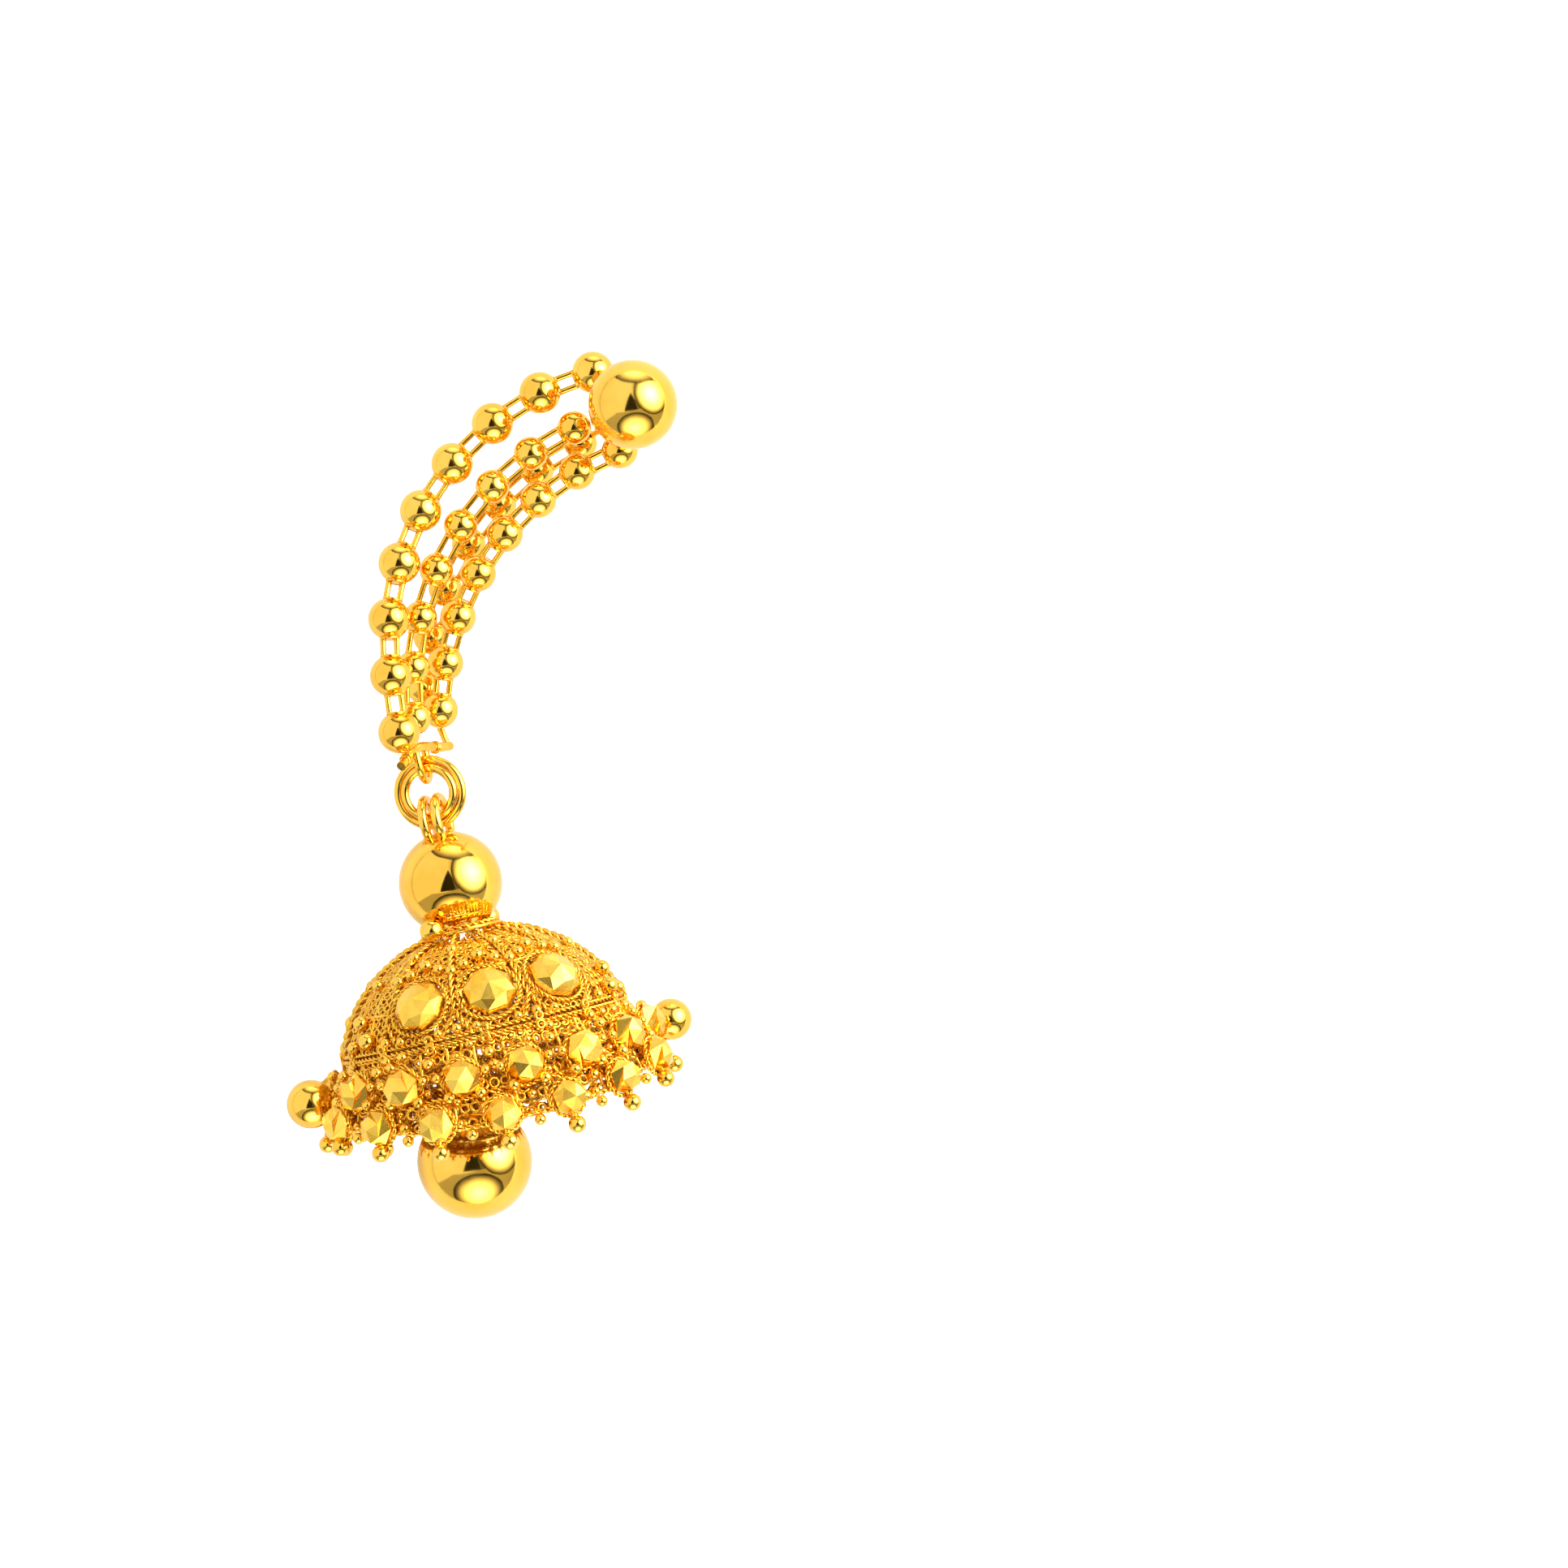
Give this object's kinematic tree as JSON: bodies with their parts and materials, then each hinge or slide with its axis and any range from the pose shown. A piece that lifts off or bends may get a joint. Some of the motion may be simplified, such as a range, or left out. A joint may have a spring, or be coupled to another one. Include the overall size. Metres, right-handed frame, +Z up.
{
  "type": "bell drop earring",
  "caption": "Drop earring in gold: a crescent of bead strands on a stud, a ring, and a pierced bell with a flared beaded border and a ball hanging in its mouth.",
  "frame": {"origin": "on the ear post's axis where it enters the front of the ear lobe", "axes": "+Z up while the earring hangs, +Y along the post towards the back of the ear, +X to the right as seen from the front; the crescent of beads curves down to -X"},
  "size_m": [0.0331, 0.0243, 0.0506],
  "materials": {
    "polished_gold": "mirror-polished high-carat yellow gold",
    "gold_wire": "drawn and twisted yellow gold wire, soldered",
    "cut_gold_filigree": "pierced wire lace with granules and bright-cut facets"
  },
  "bodies": {
    "stem": {"ear_post": "gold_wire", "stud_ball": "polished_gold", "top_bracket": "gold_wire", "outer_strand": "polished_gold", "middle_strand": "polished_gold", "inner_strand": "polished_gold", "back_strand": "polished_gold", "end_eye": "gold_wire"},
    "ring": {"jump_ring": "gold_wire"},
    "drop": {"top_ball": "polished_gold", "neck_collar": "gold_wire", "dome": "cut_gold_filigree", "skirt": "cut_gold_filigree", "end_ball_left": "polished_gold", "end_ball_right": "polished_gold", "cross_bar": "gold_wire"},
    "clapper": {"bottom_ball": "polished_gold"}
  },
  "joints": [
    {"name": "ring_swing", "type": "hinge", "parent": "stem", "child": "ring", "pos_m": [-0.0176, -0.003, -0.01954], "axis": [0.2079, 0.9781, 0], "range_deg": [-25, 25]},
    {"name": "drop_swing", "type": "hinge", "parent": "ring", "child": "drop", "pos_m": [-0.0176, -0.003, -0.02208], "axis": [0.9781, -0.2079, 0], "range_deg": [-30, 30]},
    {"name": "ball_swing", "type": "hinge", "parent": "drop", "child": "clapper", "pos_m": [-0.02, -0.003, -0.03575], "axis": [1, 0, 0], "range_deg": [-30, 30]}
  ]
}
